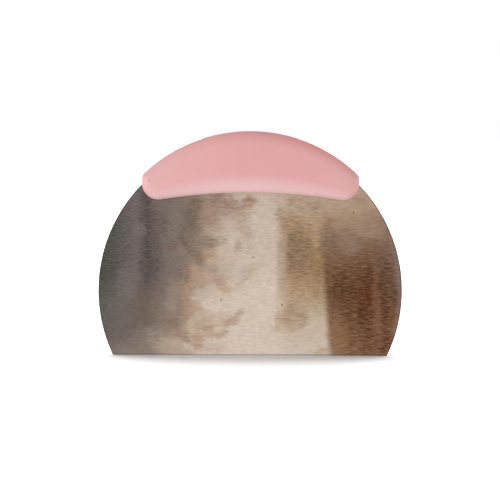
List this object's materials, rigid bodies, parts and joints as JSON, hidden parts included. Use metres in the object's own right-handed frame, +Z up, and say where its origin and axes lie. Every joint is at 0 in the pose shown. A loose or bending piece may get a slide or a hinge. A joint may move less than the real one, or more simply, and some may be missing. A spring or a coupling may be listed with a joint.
{
  "type": "dough scraper",
  "caption": "Half-moon steel dough scraper with a straight lower edge, its round top clamped and pinned in a crescent-shaped moulded plastic grip.",
  "frame": {"origin": "middle of the straight scraping edge, at half the blade's thickness", "axes": "+X along the scraping edge to the right as seen from the front, +Y from the front to the rear, +Z up from the scraping edge to the grip"},
  "size_m": [0.13, 0.012, 0.096],
  "materials": {
    "blade_steel": "satin",
    "grip_plastic": "satin",
    "pin_steel": "satin"
  },
  "bodies": {
    "root": {"blade": "blade_steel", "grip_front_shell": "grip_plastic", "grip_rear_shell": "grip_plastic", "blade_pin_left": "pin_steel", "blade_pin_centre": "pin_steel", "blade_pin_right": "pin_steel"}
  },
  "joints": []
}
